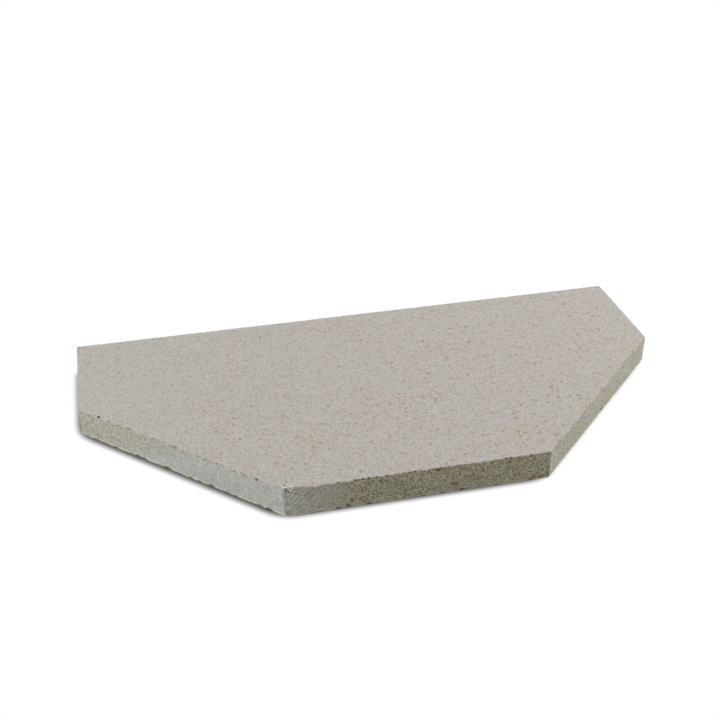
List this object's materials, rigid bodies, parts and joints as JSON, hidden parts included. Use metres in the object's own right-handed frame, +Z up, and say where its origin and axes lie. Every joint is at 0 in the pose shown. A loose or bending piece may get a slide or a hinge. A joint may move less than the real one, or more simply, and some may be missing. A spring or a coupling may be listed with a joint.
{
  "type": "half octagon kiln shelf",
  "caption": "Flat cordierite slab shaped as one half of a regular octagon, a kiln shelf that lies on posts and carries ware in the kiln, alone or edge to edge with its other half.",
  "frame": {"origin": "middle of the slab's bounding box, on the underside", "axes": "+X along the long edge, +Y from the short front edge back to the long edge, +Z up through the thickness"},
  "size_m": [0.381, 0.1906, 0.0191],
  "materials": {
    "fired_cordierite": "pressed and fired cordierite, unglazed and matt: pale warm grey deck with fine tan grog, coarser greenish buff grain and small iron spots on the sides"
  },
  "bodies": {
    "root": {"shelf": "fired_cordierite"}
  },
  "joints": []
}
